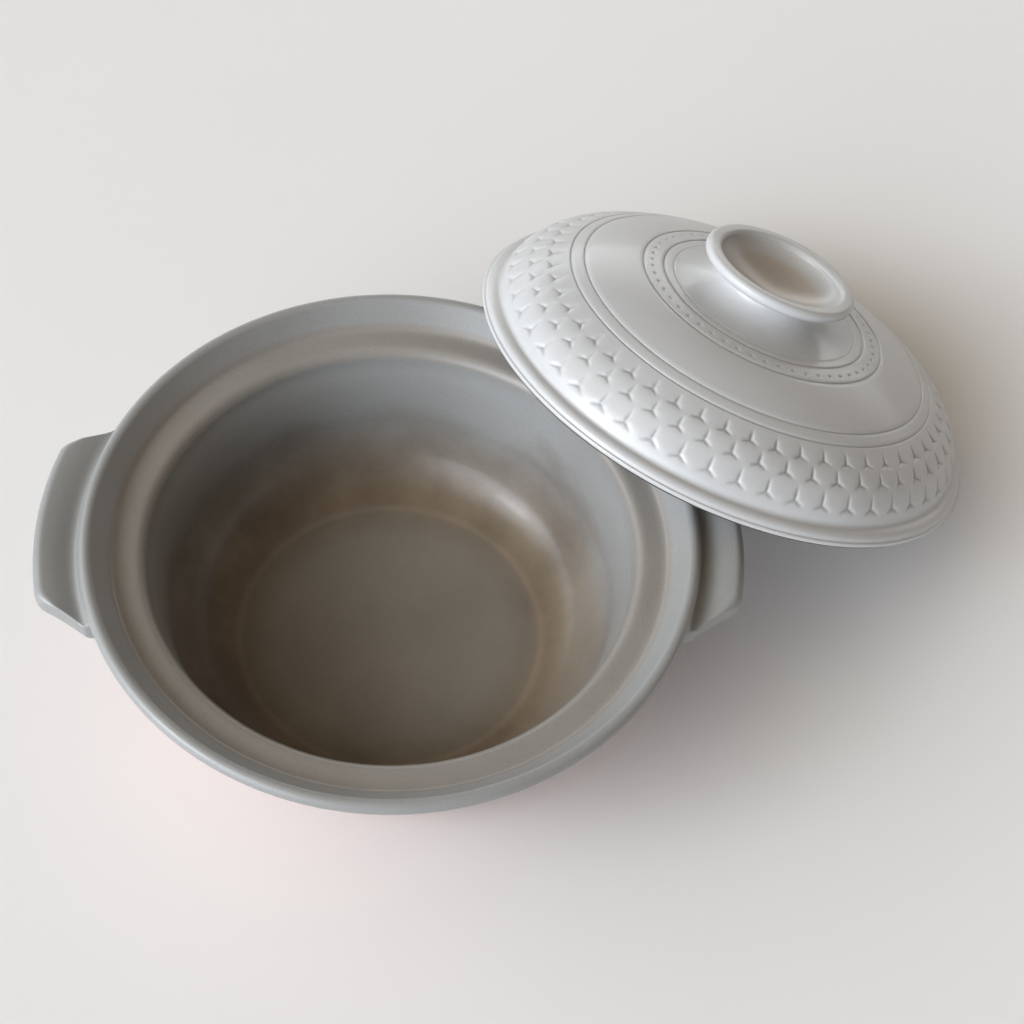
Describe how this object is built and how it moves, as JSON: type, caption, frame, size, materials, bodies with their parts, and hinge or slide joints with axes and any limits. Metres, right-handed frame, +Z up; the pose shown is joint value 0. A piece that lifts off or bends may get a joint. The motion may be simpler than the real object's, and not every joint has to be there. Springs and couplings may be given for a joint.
{
  "type": "clay cooking pot",
  "caption": "Clay cooking pot with two lug handles and a domed lid carved with a honeycomb band, the lid leaning off on the rim.",
  "frame": {"origin": "on the pot's axis in the plane of its foot ring, which is the table", "axes": "+Z up along the pot's axis; the two handles lie along X, and the lid leans on the rim towards +X and +Y"},
  "size_m": [0.4651, 0.3971, 0.142],
  "materials": {
    "pot_glaze": "semi-gloss",
    "lid_glaze": "gloss"
  },
  "bodies": {
    "root": {"pot": "pot_glaze", "lid": "lid_glaze"}
  },
  "joints": []
}
